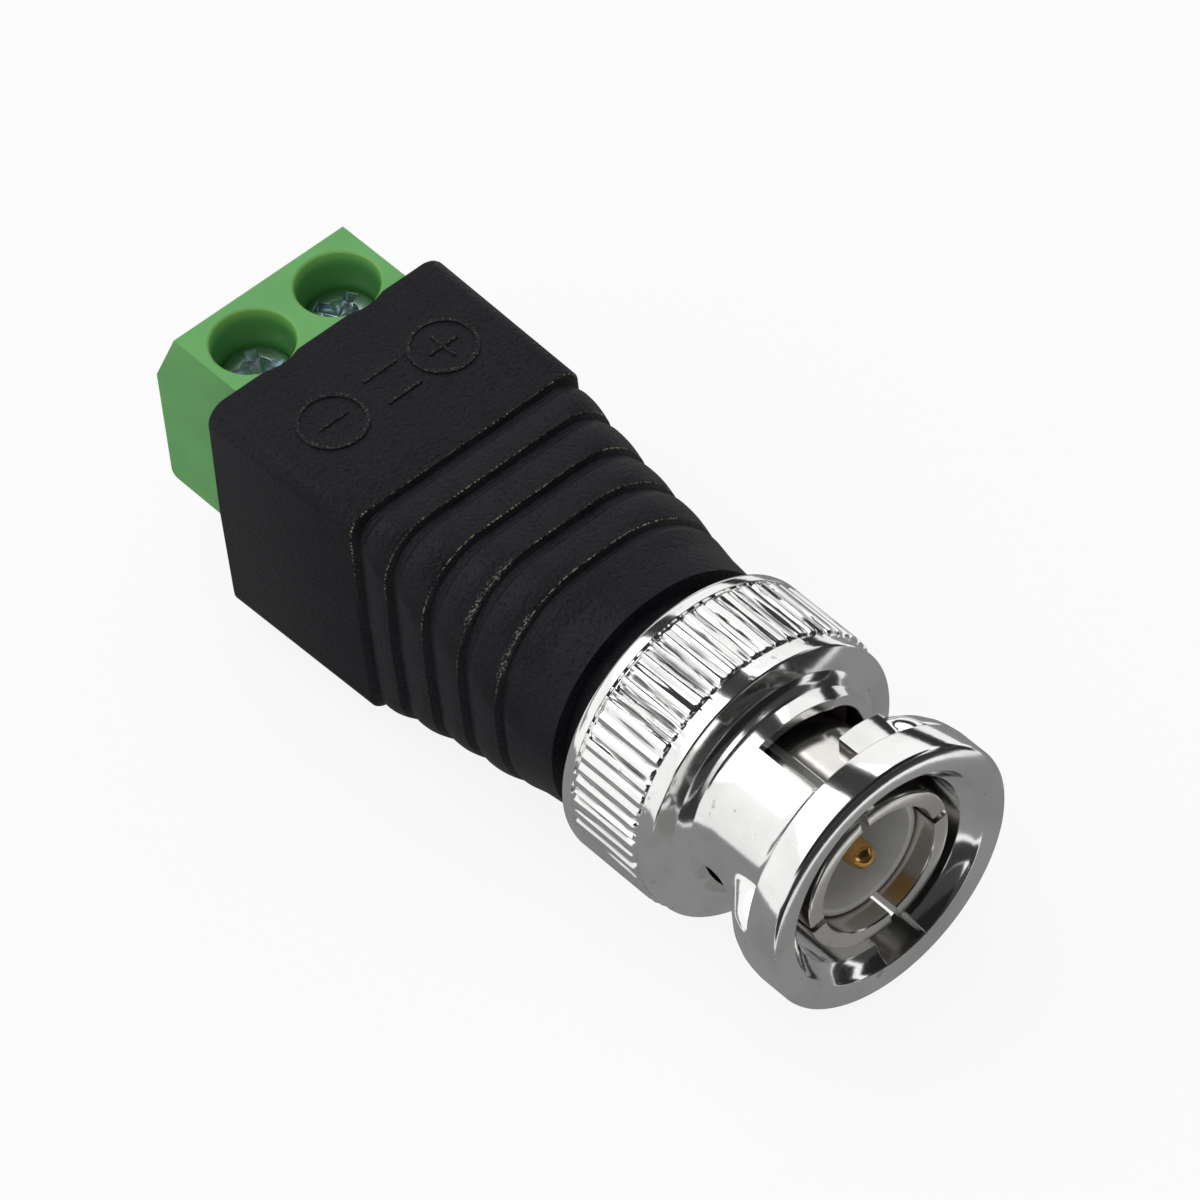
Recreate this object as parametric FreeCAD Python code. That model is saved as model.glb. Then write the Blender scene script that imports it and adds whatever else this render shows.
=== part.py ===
"""Bayonet coaxial plug to two-way screw terminal adapter, written as one STEP file per piece.

Units are mm. The origin is on the plug's axis at the rim of its outer contact.
+X points out of the plug, +Z is the marked top and +Y is the plus side.
"""
import os
from math import cos, pi, radians, sin

import FreeCAD
import Part

vec = FreeCAD.Vector
axis_x = vec(1, 0, 0)
axis_z = vec(0, 0, 1)

# plug body and what it carries, from the rim rearwards
contact_r = 4.15
contact_wall = 0.85
contact_length = 8.1
slit_width = 0.4
slit_depth = 6.5
slit_first_deg = 10.0
gasket_seat_step = 0.25
gasket_length = 1.2
gasket_wall = 1.2
shoulder_length = 0.6
shoulder_rim = 1.08
groove_depth = 0.6
groove_width = 0.5
anchor_width = 1.2
anchor_inset = 1.3
rear_bore_gap = 1.5
body_tail = 4.75
pin_r = 0.675
pin_shoulder_r = 0.9
pin_core_r = 1.1
pin_nose = 0.75
pin_core_end_gap = 0.6
pin_tail_r = 0.8
pin_tip = -0.6
pin_tail_length = 1.9
solder_cup_depth = 1.8
solder_cup_wall = 0.3
insulator_front = -1.2
insulator_wall = 0.4
insulator_cavity = 4.6
insulator_length = 10.8
shoulder_seat = 0.6
wave_thickness = 0.2
wave_height = 0.5
wave_count = 3
washer_thickness = 0.3
ring_rim = 0.63
running_gap = 0.08
side_gap = 0.05

# coupling nut, radii and lengths from its mouth rearwards
ring_front = 0.7
ring_width = 1.76
ring_height = 1.5
mouth_flare = 0.76
mating_gap = 0.75
waist_wall = 0.55
lip_fillet = 0.62
lip_rise = 0.57
nose_length = 1.13
nose_step = 0.2
knurl_length = 4.1
knurl_wall = 1.55
knurl_depth = 0.17
knurl_count = 68
rim_length = 0.8
rim_depth = 0.75
flange_length = 1.0
cavity_front_gap = 0.75
cavity_gap = 0.25
entry_groove_depth = 0.72
entry_width_deg = 24.0
window_start_deg = 109.0
pad_rise = 0.75

# overmould
box_length = 9.8
collar_r = 6.5
half_width = 6.85
top_z = 6.7
bottom_z = -6.35
edge_r = 1.0
draft = 0.2
ribs_length = 12.85
neck_length = 1.2
neck_rim = 1.18
mark_inset = 4.6
mark_side = 3.3
mark_r = 1.24
mark_line = 0.24

# terminal block, lengths from its rear face
pitch = 5.08
block_length = 8.1
block_embed = 1.65
block_margin = 2.54
block_top = 6.5
step_drop = 0.9
step_length = 1.0
block_bottom = -4.0
slope_length = 1.85
slope_drop = 3.66
screw_inset = 4.45
well_r = 2.0
well_clearance = 0.08
screw_head_r = 1.74
screw_head_drop = 1.9
screw_head_height = 1.2
screw_r = 1.5
thread_gap = 0.05
cage_inset = 1.6
cage_length = 5.8
cage_wall = 0.6
cage_height = 4.6
cage_roof_height = 1.0
cage_floor_height = 0.7
cage_inner_half = 1.5
guard_thickness = 0.35
guard_gap = 0.06
guard_length = 3.4
cage_tail_length = 3.5
cage_tail_half = 0.5
lug_thickness = 0.3
lug_tab_length = 3.7
lug_half_width = 1.0
lead_plus_r = 0.45
lead_minus_r = 0.4
lead_gap = 0.04
lead_overlap = 1.5
lead_start = 1.7
lead_rear_straight = 3.1
lead_front_straight = 5.0
lug_lead_overlap = 1.1

# places that follow from the sizes above
contact_bore_r = contact_r - contact_wall
gasket_front = -contact_length
gasket_seat_r = contact_r + gasket_seat_step
shoulder_front = gasket_front - gasket_length
shoulder_rear = shoulder_front - shoulder_length
shoulder_r = gasket_seat_r + gasket_wall
neck_r = shoulder_r - shoulder_rim
washer_front = shoulder_rear - 2 * wave_height
nut_flange_front = washer_front - washer_thickness
nut_flange_rear = nut_flange_front - flange_length
ring_groove_front = nut_flange_rear - side_gap
ring_groove_rear = ring_groove_front - groove_width
groove_r = neck_r - groove_depth
rear_bore_r = pin_core_r + rear_bore_gap
body_rear = ring_groove_rear - body_tail
insulator_rear = insulator_front - insulator_length
insulator_floor = insulator_front - insulator_cavity
insulator_cavity_r = contact_bore_r - insulator_wall
pin_seat = insulator_floor - shoulder_seat
pin_tail_end = body_rear - pin_tail_length
nut_flange_r = neck_r + running_gap
nut_cavity_r = shoulder_r + cavity_gap
retainer_r = neck_r + ring_rim
nut_rear_bore_r = retainer_r + 2 * running_gap
nut_bore_r = contact_r + mating_gap
mouth_r = nut_bore_r + mouth_flare
ring_rear = ring_front - ring_width
waist_r = nut_bore_r + waist_wall
ring_r = waist_r + ring_height
nut_rear = nut_flange_rear - rim_depth
knurl_rear = nut_rear + rim_length
knurl_front = knurl_rear + knurl_length
lip_x = knurl_front + nose_length
waist_rear = lip_x + lip_fillet
cavity_front = gasket_front + cavity_front_gap
lip_r = waist_r + lip_rise
pad_r = waist_r + pad_rise
entry_groove_r = nut_bore_r + entry_groove_depth
knurl_r = nut_cavity_r + knurl_wall
knurl_root_r = knurl_r - knurl_depth
nose_r = knurl_r - nose_step
knurl_core_r = (knurl_root_r + nut_cavity_r) / 2
neck_front = nut_rear - 0.25
collar_front = neck_front - neck_length
box_front = collar_front - ribs_length
box_rear = box_front - box_length
block_front = box_rear + block_embed
block_rear = block_front - block_length
block_half_width = pitch / 2 + block_margin
block_step_z = block_top - step_drop
block_step_x = block_front - step_length
block_top_edge = block_rear + slope_length
slope_foot_z = block_top - slope_drop
screw_x = block_rear + screw_inset
screw_head_top = block_top - screw_head_drop
screw_head_bottom = screw_head_top - screw_head_height
well_lower_r = screw_head_r + well_clearance
well_step_z = screw_head_top + side_gap
screw_hole_r = screw_r + thread_gap
cage_rear = block_rear + cage_inset
cage_front = cage_rear + cage_length
cage_half_width = cage_inner_half + cage_wall
cage_bottom = block_bottom + cage_wall
cage_top = cage_bottom + cage_height
cage_roof = cage_top - cage_roof_height
cage_floor = cage_bottom + cage_floor_height
screw_tip_z = cage_roof
cage_tail_end = cage_front + cage_tail_length
lead_end = cage_front + lead_overlap


def pt(x, r):
    return vec(x, r, 0)


def profile(points):
    """Closed face in the X-r plane; a point's third number is the radius its corner is rounded to."""
    edges = []
    ends = []
    count = len(points)
    for i in range(count):
        here = pt(points[i][0], points[i][1])
        rad = points[i][2] if len(points[i]) > 2 else 0
        if not rad:
            ends.append((here, here, None))
            continue
        before = pt(points[i - 1][0], points[i - 1][1]) - here
        after = pt(points[(i + 1) % count][0], points[(i + 1) % count][1]) - here
        before.normalize()
        after.normalize()
        half = before.getAngle(after) / 2
        reach = rad * cos(half) / sin(half)
        bisector = before + after
        bisector.normalize()
        mid = here + bisector * (rad / sin(half) - rad)
        ends.append((here + before * reach, here + after * reach, mid))
    for i in range(count):
        first, last, mid = ends[i]
        if mid is not None:
            edges.append(Part.Arc(first, mid, last).toShape())
        start = ends[(i + 1) % count][0]
        if (start - last).Length > 1e-6:
            edges.append(Part.makeLine(last, start))
    return Part.Face(Part.Wire(edges))


def lathe(points, angle=360):
    return profile(points).revolve(vec(0, 0, 0), axis_x, angle)


def tube(x0, x1, r_out, r_in=0.0):
    length = x1 - x0
    solid = Part.makeCylinder(r_out, length, vec(x0, 0, 0), axis_x)
    if r_in:
        solid = solid.cut(Part.makeCylinder(r_in, length + 2, vec(x0 - 1, 0, 0), axis_x))
    return solid


def box(x0, x1, y0, y1, z0, z1):
    return Part.makeBox(x1 - x0, y1 - y0, z1 - z0, vec(x0, y0, z0))


def turned(shape, angle):
    """The shape turned about X, from +Y towards +Z."""
    copy = shape.copy()
    copy.rotate(vec(0, 0, 0), axis_x, angle)
    return copy


def moved(shape, x=0.0, y=0.0, z=0.0):
    copy = shape.copy()
    copy.translate(vec(x, y, z))
    return copy


def polar(x, r, deg):
    return vec(x, r * cos(radians(deg)), r * sin(radians(deg)))


def between(value, table):
    """Linear interpolation in a list of (input, output) pairs."""
    for (a, fa), (b, fb) in zip(table, table[1:]):
        if min(a, b) <= value <= max(a, b):
            return fa + (fb - fa) * (value - a) / (b - a)
    return table[-1][1]


def swept_sector(degs, ranges, r0, r1):
    """Solid between two radii whose front and rear walls move along X with the angle."""
    wires = []
    for deg, (rear, front) in zip(degs, ranges):
        corners = [polar(rear, r0, deg), polar(front, r0, deg), polar(front, r1, deg), polar(rear, r1, deg)]
        wires.append(Part.makePolygon(corners + corners[:1]))
    return Part.makeLoft(wires, True, True)


def steps(first, last, size):
    count = max(1, int(round(abs(last - first) / size)))
    return [first + (last - first) * i / count for i in range(count + 1)]


# Window walls by the angle behind the straight entry edge: rear wall in front of the waist's rear end,
# cam wall in front of the ring's rear edge.
rear_wall = [(0, 0.75), (49, 0.75), (62, 0.5), (87, 0.15), (104, 0.1), (113, 0.1)]
cam_wall = [(24, -1.74), (50, -2.14), (84, -3.14), (88, -2.84), (107, -2.79), (113, -3.14)]
window_degs = [23.5, 35, 49, 62, 75, 84, 88, 98, 107, 113]
# Share of the rise from the waist to the ring, by the place in front of the ring's rear edge.
flare = [(-3.54, -0.07), (-2.6, 0.12), (-1.84, 0.48), (-1.27, 0.77), (-0.64, 0.95), (0.16, 1.0)]


def bayonet_cutter():
    """Entry groove and cam window of one stud, starting at the angle 0 and running backwards."""
    degs = [-d for d in steps(0, entry_width_deg, 8)]
    slot_rear = waist_rear + rear_wall[0][1]
    slot = swept_sector(degs, [(slot_rear, ring_front + 0.5)] * len(degs), nut_bore_r - 0.6, entry_groove_r)
    open_slot = swept_sector(degs, [(slot_rear, ring_rear - 0.12)] * len(degs), nut_bore_r, pad_r - 0.2)
    walls = [
        (waist_rear + between(d, rear_wall), ring_rear + between(max(d, cam_wall[0][0]), cam_wall))
        for d in window_degs
    ]
    window = swept_sector([-d for d in window_degs], walls, nut_bore_r - 0.6, ring_r + 1)
    return slot.fuse([open_slot, window])


def cam_roof():
    """Thickened wall in front of the cam window, flaring out to the ring away from the entry."""
    inner = waist_r - waist_wall / 2
    front = ring_rear + 0.16
    rear = ring_rear - 3.24
    pad = lathe([(rear, inner), (rear, pad_r), (front, pad_r), (front, inner)], 28)
    high = [(ring_rear + x, waist_r + (ring_r - waist_r) * share) for x, share in flare]
    high = lathe(high + [(front, inner), (high[0][0], inner)], 76)
    return turned(pad, -entry_width_deg - 28).fuse(turned(high, -40 - 76))


def coupling_nut():
    outside = [
        (ring_front, mouth_r), (ring_front, ring_r - 0.15), (ring_front - 0.15, ring_r), (ring_rear, ring_r),
        (ring_rear - 0.12, ring_r - 0.3), (ring_rear - 0.45, waist_r + 0.3), (ring_rear - 0.95, waist_r),
        (waist_rear, waist_r), (waist_rear - 0.28, waist_r + 0.29), (lip_x, lip_r),
        (lip_x - 0.2, nose_r - 0.08), (lip_x - 0.28, nose_r), (knurl_front, nose_r),
        (knurl_front, knurl_core_r), (knurl_rear, knurl_core_r),
        (knurl_rear, knurl_r + 0.03), (nut_rear + 0.35, knurl_r), (nut_rear + 0.1, knurl_r - 0.1),
        (nut_rear, knurl_r - 0.35), (nut_rear, nut_rear_bore_r), (nut_flange_rear, nut_rear_bore_r),
        (nut_flange_rear, nut_flange_r), (nut_flange_front, nut_flange_r), (nut_flange_front, nut_cavity_r),
        (cavity_front, nut_cavity_r), (cavity_front + 0.75, nut_bore_r), (ring_front - 0.8, nut_bore_r),
        (ring_front - 0.55, nut_bore_r + 0.35), (ring_front - 0.2, mouth_r - 0.16),
    ]
    nut = lathe(outside)
    outline = []
    tooth = 360.0 / knurl_count
    for i in range(knurl_count):
        start = i * tooth
        outline.append(polar(knurl_rear, knurl_root_r, start))
        outline.append(polar(knurl_rear, knurl_r, start + 0.22 * tooth))
        outline.append(polar(knurl_rear, knurl_r, start + 0.78 * tooth))
    band = Part.Face(Part.makePolygon(outline + outline[:1])).extrude(vec(knurl_front - knurl_rear, 0, 0))
    band = band.cut(tube(knurl_rear - 1, knurl_front + 1, knurl_core_r))
    nut = nut.fuse(band)
    roofs = [turned(cam_roof(), window_start_deg + turn) for turn in (0, 180)]
    nut = nut.fuse(roofs)
    cutters = [turned(bayonet_cutter(), window_start_deg + turn) for turn in (0, 180)]
    return nut.cut(cutters).cut(tube(cavity_front + 0.5, ring_front - 0.7, nut_bore_r)).removeSplitter()


def plug_body():
    anchor_rear = body_rear + anchor_inset
    anchor_front = anchor_rear + anchor_width
    body = lathe([
        (0, contact_bore_r + 0.3), (0, contact_r - 0.2), (-0.2, contact_r), (gasket_front, contact_r),
        (gasket_front, gasket_seat_r), (shoulder_front, gasket_seat_r),
        (shoulder_front, shoulder_r), (shoulder_rear, shoulder_r), (shoulder_rear, neck_r),
        (ring_groove_front, neck_r), (ring_groove_front, groove_r), (ring_groove_rear, groove_r),
        (ring_groove_rear, neck_r), (anchor_front, neck_r), (anchor_front, groove_r),
        (anchor_rear, groove_r), (anchor_rear, neck_r), (body_rear, neck_r),
        (body_rear, rear_bore_r), (insulator_rear, rear_bore_r),
        (insulator_rear, contact_bore_r), (-0.3, contact_bore_r),
    ])
    slits = []
    for i in range(4):
        slit = box(-slit_depth, 1, contact_bore_r - 0.6, contact_r + 0.6, -slit_width / 2, slit_width / 2)
        slits.append(turned(slit, slit_first_deg + 90 * i))
    return body.cut(slits)


def insulator():
    slit_end = -slit_depth - 0.3
    return lathe([
        (insulator_front, insulator_cavity_r), (insulator_front, contact_bore_r - 0.16),
        (insulator_front - 0.1, contact_bore_r - 0.06), (slit_end, contact_bore_r - 0.06),
        (slit_end - 0.06, contact_bore_r), (insulator_rear, contact_bore_r), (insulator_rear, pin_core_r),
        (pin_seat, pin_core_r), (pin_seat, pin_shoulder_r), (insulator_floor, pin_shoulder_r),
        (insulator_floor, insulator_cavity_r),
    ])


def centre_pin():
    core_end = insulator_rear - pin_core_end_gap
    pin = lathe([
        (pin_tip, 0), (pin_tip, 0.3 * pin_r), (pin_tip - 0.2 * pin_nose, 0.64 * pin_r),
        (pin_tip - 0.6 * pin_nose, 0.9 * pin_r), (pin_tip - pin_nose, pin_r), (insulator_floor, pin_r),
        (insulator_floor, pin_shoulder_r), (pin_seat, pin_shoulder_r), (pin_seat, pin_core_r),
        (core_end, pin_core_r), (core_end, pin_tail_r), (pin_tail_end, pin_tail_r), (pin_tail_end, 0),
    ])
    cup_front = pin_tail_end + solder_cup_depth
    cup = tube(pin_tail_end - 1, cup_front, pin_tail_r - solder_cup_wall)
    flat = box(pin_tail_end - 1, cup_front - 0.2, -1, 1, 0.25, 1)
    return pin.cut([cup, flat])


def gasket():
    return lathe([
        (shoulder_front, gasket_seat_r), (shoulder_front, shoulder_r), (gasket_front + 0.15, shoulder_r),
        (gasket_front, shoulder_r - 0.15), (gasket_front, gasket_seat_r),
    ])


def wave_ring(x_mid, r_in, r_out, phase):
    """Thin washer whose faces follow a wave round the axis."""
    swing = (wave_height - wave_thickness) / 2
    rings = {}
    for name, r, lift in (("fi", r_in, 1), ("fo", r_out, 1), ("ri", r_in, -1), ("ro", r_out, -1)):
        points = []
        for i in range(24):
            deg = i * 15.0
            wave = swing * cos(radians(wave_count * (deg - phase)))
            points.append(polar(x_mid + wave + lift * wave_thickness / 2, r, deg))
        curve = Part.BSplineCurve()
        curve.interpolate(points, PeriodicFlag=True)
        rings[name] = curve.toShape()
    pairs = (("fi", "fo"), ("ro", "ri"), ("fo", "ro"), ("ri", "fi"))
    faces = [Part.makeRuledSurface(rings[a], rings[b]) for a, b in pairs]
    shell = Part.makeShell(faces)
    shell.sewShape()
    solid = Part.makeSolid(shell)
    if solid.Volume < 0:
        solid.reverse()
    return solid


def retaining_ring():
    ring = tube(ring_groove_rear, ring_groove_front, retainer_r, groove_r)
    gap = box(ring_groove_rear - 1, ring_groove_front + 1, groove_r - 1, retainer_r + 1, -0.6, 0.6)
    return ring.cut(turned(gap, -90))


def ground_lug():
    plate_rear = body_rear - lug_thickness
    tab_rear = body_rear - lug_tab_length
    half = lug_half_width
    ring = tube(plate_rear, body_rear, neck_r - 0.15, rear_bore_r + 0.2)
    tab = box(tab_rear, body_rear, -neck_r, lug_thickness - neck_r, -half, half)
    root = box(plate_rear, body_rear, -neck_r, 0.9 - neck_r, -half, half)
    eye = Part.makeCylinder(0.45 * half, 2, vec(tab_rear + half, -neck_r - 1, 0), vec(0, 1, 0))
    return ring.fuse([tab, root]).cut(eye).removeSplitter()


def rounded_wire(x, half_y, z_low, z_high, rad):
    """Rounded rectangle in the plane at x, as four lines and four arcs."""
    half_z = (z_high - z_low) / 2
    mid_z = (z_high + z_low) / 2
    rad = min(rad, half_y - 0.04, half_z - 0.04)
    edges = []
    signs = ((1, 1), (-1, 1), (-1, -1), (1, -1))
    corners = []
    for i, (sy, sz) in enumerate(signs):
        centre = vec(x, sy * (half_y - rad), mid_z + sz * (half_z - rad))
        start = 90.0 * i
        arc = [centre + polar(0, rad, start + turn) for turn in (0, 45, 90)]
        corners.append(arc)
    for i in range(4):
        arc = corners[i]
        edges.append(Part.Arc(arc[0], arc[1], arc[2]).toShape())
        edges.append(Part.makeLine(arc[2], corners[(i + 1) % 4][0]))
    return Part.Wire(edges)


# Each rib's lip, in front of the box, and how far its section lies inside the box's half width.
lips = [0.0, 2.15, 4.52, 6.8, 9.25]
lip_sizes = [(0.05, 1.0), (0.05, 2.8), (0.07, 3.95), (0.09, 4.95), (0.11, 5.9)]
valley_sizes = [(0.33, 1.3), (0.35, 2.5), (0.37, 3.6), (0.39, 4.56), (0.39, 5.5)]
crest_sizes = [(0.13, 1.7), (0.15, 2.86), (0.17, 4.0), (0.17, 4.85), (0.19, 5.93)]
last_rib = (11.05, 0.23, 6.4)


def rib_sections():
    """Stations from the first valley to the collar's front edge: place, half size, corner radius."""
    stations = []
    ends = lips[1:] + [last_rib[0]]
    after = lip_sizes[1:] + [last_rib[1:]]
    for lip, end, valley, crest, last in zip(lips, ends, valley_sizes, crest_sizes, after):
        start = lip + 0.22
        for share, rise in ((0, 0), (0.3, 1)):
            inset, rad = [v + (c - v) * rise for v, c in zip(valley, crest)]
            stations.append((box_front + start + (end - start) * share, half_width - inset, rad))
        stations.append((box_front + end, half_width - last[0], last[1]))
    stations.append((collar_front, collar_r, collar_r))
    return stations


def moulding_form():
    """Outside of the overmould: square at the terminals, ribbed, then round at the nut."""
    wires = [
        rounded_wire(box_rear, half_width + draft, bottom_z - draft / 2, top_z + draft / 4, edge_r),
        rounded_wire(box_front, half_width, bottom_z, top_z, edge_r),
    ]
    block = Part.makeLoft(wires, True, True)
    wires = [wires[1]]
    for x, size, rad in rib_sections():
        blend = min(1.0, max(0.0, (collar_front - 2.6 - x) / (ribs_length - 2.6)))
        low = -size + (bottom_z + half_width - 0.05) * blend
        high = size + (top_z - half_width + 0.05) * blend
        wires.append(rounded_wire(x, size, low, high, rad))
    ribs = Part.makeLoft(wires, True, True)
    neck = tube(collar_front, neck_front, neck_r + neck_rim)
    return block.fuse([ribs, neck]).removeSplitter()


def top_marks():
    """Raised polarity marks and two dashes on the top face."""
    marks = []
    base, rise = top_z - 0.4, top_z + 0.1
    x = box_rear + mark_inset
    for side in (-1, 1):
        y = mark_side * side
        outer = Part.makeCylinder(mark_r + mark_line, rise - base, vec(x, y, base), axis_z)
        inner = Part.makeCylinder(mark_r, rise - base, vec(x, y, base), axis_z)
        marks.append(outer.cut(inner))
        marks.append(box(x - 0.1, x + 0.1, y - 0.75, y + 0.75, base, rise))
    marks.append(box(x - 0.75, x + 0.75, mark_side - 0.1, mark_side + 0.1, base, rise))
    marks.append(box(x - 0.95, x - 0.75, -0.8, 1.2, base, rise))
    marks.append(box(x + 0.85, x + 1.05, -0.8, 1.2, base, rise))
    return marks


def screw(side):
    head = Part.makeCylinder(screw_head_r, screw_head_height, vec(0, 0, screw_head_bottom), axis_z)
    head = head.makeChamfer(0.25, [e for e in head.Edges if e.BoundBox.ZMin > screw_head_top - 0.01])
    shank = Part.makeCylinder(screw_r, screw_head_bottom - screw_tip_z, vec(0, 0, screw_tip_z), axis_z)
    arm = 0.72 * screw_head_r
    cross = [
        box(-arm, arm, -0.3, 0.3, screw_head_top - 0.65, screw_head_top + 1),
        box(-0.3, 0.3, -arm, arm, screw_head_top - 0.65, screw_head_top + 1),
    ]
    solid = head.fuse(shank).cut(cross)
    solid.rotate(vec(0, 0, 0), axis_z, 28 if side > 0 else 64)
    return moved(solid, screw_x, side * pitch / 2, 0)


def contact_cage(side):
    y = side * pitch / 2
    tail = cage_tail_half
    wide, half = cage_half_width, cage_inner_half
    outer = box(cage_rear, cage_front, y - wide, y + wide, cage_bottom, cage_top)
    inner = box(cage_rear - 1, cage_front - cage_wall, y - half, y + half, cage_floor, cage_roof)
    hole = Part.makeCylinder(screw_hole_r, 3, vec(screw_x, y, cage_roof - 0.5), axis_z)
    foot = box(cage_front, cage_tail_end, y - tail, y + tail, cage_bottom, cage_floor)
    return outer.cut([inner, hole]).fuse(foot).removeSplitter()


def wire_guard(side):
    y = side * pitch / 2
    half = cage_inner_half - guard_gap
    x = screw_x - guard_length / 2
    plate = box(x, x + guard_length, y - half, y + half, cage_roof - guard_thickness, cage_roof)
    low = cage_roof - guard_thickness + 0.01
    low_edges = [e for e in plate.Edges if e.BoundBox.ZMax < low and e.BoundBox.XLength < 0.01]
    return plate.makeChamfer(0.2, low_edges)


def wire_entry(side):
    """Funnel in the block's rear face, narrowing to the cage's mouth."""
    y = side * pitch / 2
    mouth = 0.46
    wires = []
    for x, grow in ((block_rear - 0.1, mouth), (block_rear + 0.9, 0.0)):
        y0, y1 = y - cage_inner_half - grow, y + cage_inner_half + grow
        z0, z1 = cage_floor - grow, cage_roof + grow
        corners = [vec(x, y0, z0), vec(x, y1, z0), vec(x, y1, z1), vec(x, y0, z1)]
        wires.append(Part.makePolygon(corners + corners[:1]))
    funnel = Part.makeLoft(wires, True, True)
    half = cage_inner_half
    passage = box(block_rear + 0.5, cage_rear, y - half, y + half, cage_floor, cage_roof)
    return funnel.fuse(passage)


def terminal_housing():
    outline = [
        (block_front, block_bottom), (block_front, block_step_z), (block_step_x, block_step_z),
        (block_step_x, block_top), (block_top_edge, block_top),
        (block_rear + 0.1, slope_foot_z), (block_rear, slope_foot_z - 0.4), (block_rear, block_bottom + 0.4),
        (block_rear + 0.4, block_bottom),
    ]
    points = [vec(x, -block_half_width, z) for x, z in outline]
    housing = Part.Face(Part.makePolygon(points + points[:1])).extrude(vec(0, 2 * block_half_width, 0))
    tail = cage_tail_half
    wide = cage_half_width
    low = cage_top - 0.5
    cutters = []
    for side in (-1, 1):
        y = side * pitch / 2
        cutters.append(Part.makeCylinder(well_r, 10, vec(screw_x, y, well_step_z), axis_z))
        foot = vec(screw_x, y, low)
        cutters.append(Part.makeCylinder(well_lower_r, well_step_z - low + 1, foot, axis_z))
        cutters.append(Part.makeCone(well_r, well_r + 0.3, 0.2, vec(screw_x, y, block_top - 0.12), axis_z))
        cutters.append(wire_entry(side))
        cutters.append(box(cage_rear, cage_front, y - wide, y + wide, cage_bottom, cage_top))
        if cage_front < block_front:
            cutters.append(box(cage_front, block_front + 1, y - tail, y + tail, cage_bottom, cage_floor))
    return housing.cut(cutters).removeSplitter()


def lead(points, rad):
    """Round wire along straight runs that meet in mitres."""
    corners = [vec(*point) for point in points]
    circle = Part.Wire(Part.makeCircle(rad, corners[0], corners[1] - corners[0]))
    return Part.Wire(Part.makePolygon(corners)).makePipeShell([circle], True, True, 1)


def nugget(x0, x1, y0, y1, z0, z1):
    """Small lump of solder."""
    lump = box(x0, x1, y0, y1, z0, z1)
    return lump.makeChamfer(0.25, lump.Edges)


def build():
    plus_z = cage_floor + lead_plus_r + lead_gap
    minus_z = cage_floor + lead_minus_r + lead_gap
    lug_y = -neck_r - lead_minus_r - lead_gap
    straight = body_rear - lead_front_straight
    rise = cage_tail_end + lead_rear_straight
    tab_rear = body_rear - lug_tab_length
    wave_in, wave_out = neck_r + running_gap, shoulder_r - side_gap
    nodes = {
        "coupling_nut": coupling_nut(),
        "plug_body": plug_body(),
        "insulator": insulator(),
        "centre_pin": centre_pin(),
        "gasket": gasket(),
        "wave_washer_a": wave_ring(shoulder_rear - wave_height / 2, wave_in, wave_out, 0),
        "wave_washer_b": wave_ring(shoulder_rear - 1.5 * wave_height, wave_in, wave_out, 60),
        "thrust_washer": tube(nut_flange_front, washer_front, nut_cavity_r - 0.15, wave_in),
        "retaining_ring": retaining_ring(),
        "ground_lug": ground_lug(),
        "screw_plus": screw(1),
        "screw_minus": screw(-1),
        "contact_cage_plus": contact_cage(1),
        "contact_cage_minus": contact_cage(-1),
        "wire_guard_plus": wire_guard(1),
        "wire_guard_minus": wire_guard(-1),
        "terminal_housing": terminal_housing(),
        "lead_plus": lead(
            [(pin_tail_end + lead_start, 0, 0), (straight, 0, 0), (rise, pitch / 2, plus_z),
             (lead_end, pitch / 2, plus_z)],
            lead_plus_r),
        "lead_minus": lead(
            [(body_rear - lug_lead_overlap, lug_y, 0), (straight, lug_y, 0), (rise, -pitch / 2, minus_z),
             (lead_end, -pitch / 2, minus_z)],
            lead_minus_r),
    }
    solder = []
    for side, name, rad in ((1, "plus", lead_plus_r), (-1, "minus", lead_minus_r)):
        y = side * pitch / 2
        top = cage_floor + 2 * rad + 0.2
        blob = nugget(lead_end + 0.2, lead_end + 1.7, y - 0.8, y + 0.8, cage_floor - 0.4, top)
        solder.append(blob)
        nodes["solder_joint_" + name] = blob.cut([nodes["lead_" + name], nodes["contact_cage_" + name]])
    fill = tube(pin_tail_end + 0.1, pin_tail_end + solder_cup_depth, pin_tail_r - 0.15)
    nodes["solder_joint_pin"] = fill.cut(nodes["centre_pin"]).cut(nodes["lead_plus"])
    bead_y = lug_y - lead_minus_r - 0.2
    bead = nugget(tab_rear + 0.2, tab_rear + 1.8, bead_y, lug_thickness + 0.3 - neck_r, -0.75, 0.75)
    solder += [fill, bead]
    nodes["solder_joint_lug"] = bead.cut(nodes["ground_lug"]).cut(nodes["lead_minus"])
    half = block_half_width
    behind = block_rear - 1
    block_blank = box(behind, block_front, -half, half, block_bottom, block_step_z)
    block_blank = block_blank.fuse(box(behind, block_step_x, -half, half, block_step_z - 1, block_top))
    scallops = [
        Part.makeCylinder(well_r + 0.25, 5, vec(screw_x, side * pitch / 2, block_top - 0.6), axis_z)
        for side in (-1, 1)
    ]
    body = moulding_form().fuse(top_marks()).cut([block_blank] + scallops)
    for name in ("plug_body", "centre_pin", "ground_lug", "lead_plus", "lead_minus", "contact_cage_plus",
                 "contact_cage_minus"):
        body = body.cut(nodes[name])
    for blob in solder:
        body = body.cut(blob)
    nodes["overmould_body"] = body.removeSplitter()
    return nodes


os.makedirs("parts", exist_ok=True)
for name, shape in build().items():
    solids = shape.Solids
    if len(solids) == 1:
        shape = solids[0]
    shape.exportStep("parts/%s.step" % name)
    print("%-22s solids %d faces %4d volume %9.3f valid %s" % (
        name, len(solids), len(shape.Faces), shape.Volume, shape.isValid()))
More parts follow.
